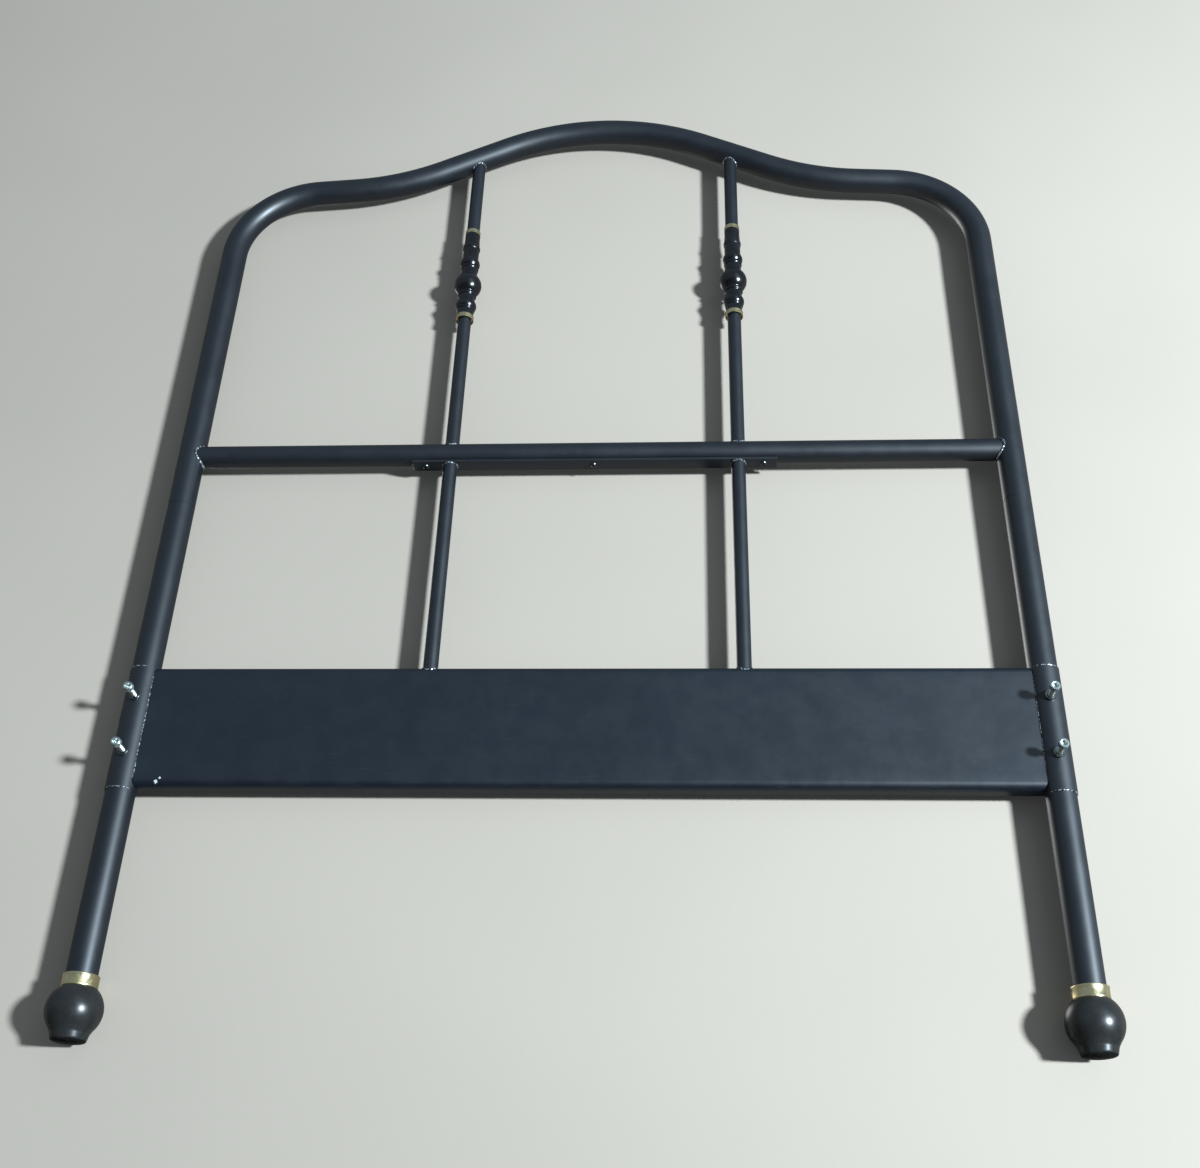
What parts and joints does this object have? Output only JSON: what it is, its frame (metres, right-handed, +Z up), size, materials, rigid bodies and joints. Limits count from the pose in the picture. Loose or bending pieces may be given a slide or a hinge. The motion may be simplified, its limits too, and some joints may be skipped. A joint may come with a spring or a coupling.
{
  "type": "metal bed headboard",
  "caption": "Arched tubular steel headboard for a single bed, with spindles, turned ornaments, a folded panel, ball feet and screw-in bolts for the side rails.",
  "frame": {"origin": "on the floor, midway between the two feet, in the plane of the leg centre lines", "axes": "+X across the bed to the right of someone facing the mattress side, -Y out of the mattress side where the rail bolts stand, +Z up along the legs"},
  "size_m": [0.9828, 0.0654, 1.1999],
  "materials": {
    "frame_paint": "satin black powder coat",
    "panel_paint": "satin black powder coat on flat sheet",
    "ornament_paint": "gloss black paint",
    "brass": "polished, lightly dulled",
    "zinc": "bright zinc plate",
    "bare_steel": "bare drawn tube",
    "foot_plastic": "satin moulded"
  },
  "bodies": {
    "frame": {"hoop_tube": "frame_paint", "mid_rail": "frame_paint", "upper_spindle_left": "frame_paint", "upper_spindle_right": "frame_paint", "ornament_left": "ornament_paint", "ornament_right": "ornament_paint", "ornament_top_ring_left": "brass", "ornament_top_ring_right": "brass", "ornament_cup_ring_left": "brass", "ornament_cup_ring_right": "brass", "lower_leg_left": "frame_paint", "lower_leg_right": "frame_paint", "leg_spigot_left": "bare_steel", "leg_spigot_right": "bare_steel", "panel": "panel_paint", "leg_saddle_left": "frame_paint", "leg_saddle_right": "frame_paint", "lower_spindle_left": "frame_paint", "lower_spindle_right": "frame_paint", "tie_strip": "frame_paint", "tie_strip_screws": "zinc", "rail_inserts": "zinc", "bolt_washers": "zinc", "foot_collar_left": "brass", "foot_collar_right": "brass", "ball_foot_left": "foot_plastic", "ball_foot_right": "foot_plastic"},
    "rail_bolt_left_upper_body": {"rail_bolt_left_upper": "zinc"},
    "rail_bolt_left_lower_body": {"rail_bolt_left_lower": "zinc"},
    "rail_bolt_right_upper_body": {"rail_bolt_right_upper": "zinc"},
    "rail_bolt_right_lower_body": {"rail_bolt_right_lower": "zinc"}
  },
  "joints": [
    {"name": "rail_bolt_left_upper_screw", "type": "slide", "parent": "frame", "child": "rail_bolt_left_upper_body", "axis": [0, -1, 0], "range_m": [-0.0141, 0.01]},
    {"name": "rail_bolt_left_lower_screw", "type": "slide", "parent": "frame", "child": "rail_bolt_left_lower_body", "axis": [0, -1, 0], "range_m": [-0.0141, 0.01]},
    {"name": "rail_bolt_right_upper_screw", "type": "slide", "parent": "frame", "child": "rail_bolt_right_upper_body", "axis": [0, -1, 0], "range_m": [-0.0141, 0.01]},
    {"name": "rail_bolt_right_lower_screw", "type": "slide", "parent": "frame", "child": "rail_bolt_right_lower_body", "axis": [0, -1, 0], "range_m": [-0.0141, 0.01]}
  ]
}
